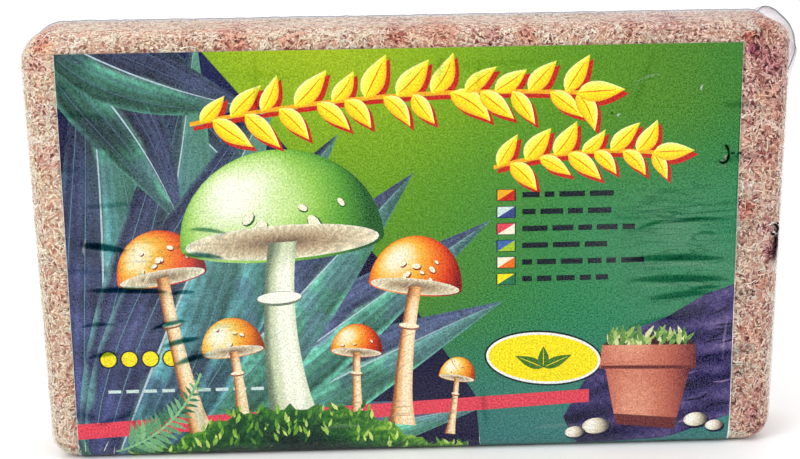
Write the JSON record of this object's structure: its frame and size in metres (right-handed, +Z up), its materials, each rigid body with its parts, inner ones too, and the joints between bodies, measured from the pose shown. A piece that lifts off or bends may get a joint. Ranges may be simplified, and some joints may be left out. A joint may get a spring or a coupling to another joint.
{
  "type": "pressed moss block",
  "caption": "Brick of dried moss, pressed flat with rounded corners, under a printed paper sheet and clear shrink film.",
  "frame": {"origin": "on the surface that the block stands on, under the middle of the wrapped block", "axes": "+X along the long side, to the right as seen from the printed side; the printed side faces -Y; +Z up"},
  "size_m": [0.2028, 0.03, 0.1181],
  "materials": {
    "dry_moss": "pressed dry plant fibre",
    "printed_paper": "glossy colour print",
    "clear_film": "clear glossy shrink film"
  },
  "bodies": {
    "root": {"moss_block": "dry_moss", "label_sheet": "printed_paper", "shrink_film": "clear_film"}
  },
  "joints": []
}
